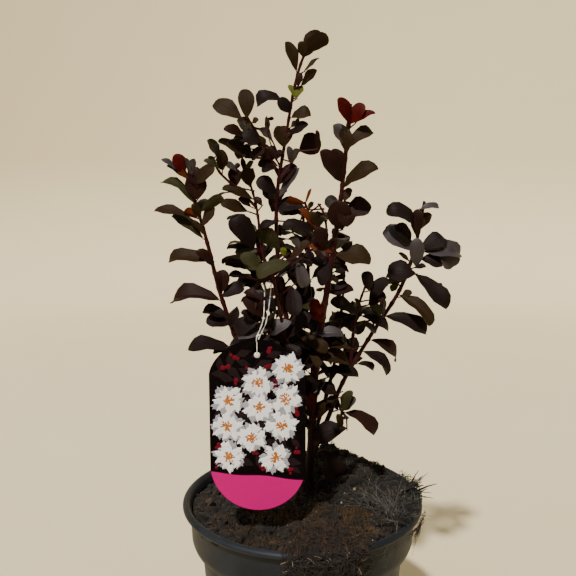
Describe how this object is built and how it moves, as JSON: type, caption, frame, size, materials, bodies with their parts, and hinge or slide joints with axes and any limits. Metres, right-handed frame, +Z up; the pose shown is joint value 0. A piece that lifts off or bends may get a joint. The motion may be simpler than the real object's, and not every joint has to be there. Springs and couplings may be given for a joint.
{
  "type": "potted crape myrtle",
  "caption": "Young dark-leaved crape myrtle of many upright shoots, in a round nursery pot of compost, with a hanging plant label.",
  "frame": {"origin": "centre of the flat underside of the pot, where it stands", "axes": "+Z up, +X to the right and -Y towards a viewer who faces the label"},
  "size_m": [0.2203, 0.1947, 0.509],
  "materials": {
    "pot_plastic": "satin",
    "compost": "matte",
    "moss": "matte",
    "root_fibre": "matte",
    "dry_straw": "matte",
    "bark": "satin",
    "leaf": "satin",
    "label_card": "satin",
    "tie_thread": "matte"
  },
  "bodies": {
    "root": {"bough_back": "bark", "bough_back_left": "bark", "bough_back_right": "bark", "bough_centre": "bark", "bough_front": "bark", "bough_front_left": "bark", "bough_left": "bark", "bough_low_right": "bark", "bough_right": "bark", "bough_right_centre": "bark", "bough_right_inner": "bark", "compost": "compost", "foliage_back_left": "leaf", "foliage_back_lower": "leaf", "foliage_back_right": "leaf", "foliage_back_top": "leaf", "foliage_centre_left": "leaf", "foliage_centre_middle": "leaf", "foliage_centre_top": "leaf", "foliage_core_left": "leaf", "foliage_core_right": "leaf", "foliage_far_left": "leaf", "foliage_front": "leaf", "foliage_front_left": "leaf", "foliage_inner_right": "leaf", "foliage_left_inner_lower": "leaf", "foliage_left_inner_top": "leaf", "foliage_left_lower": "leaf", "foliage_left_top": "leaf", "foliage_low_inner": "leaf", "foliage_low_right": "leaf", "foliage_right_centre_top": "leaf", "foliage_right_inner": "leaf", "foliage_right_lower": "leaf", "foliage_right_middle": "leaf", "foliage_right_top": "leaf", "label_tag": "label_card", "label_tie": "tie_thread", "moss_mound": "moss", "pot": "pot_plastic", "root_mat": "root_fibre", "straw_tuft": "dry_straw", "trunk": "bark"}
  },
  "joints": []
}
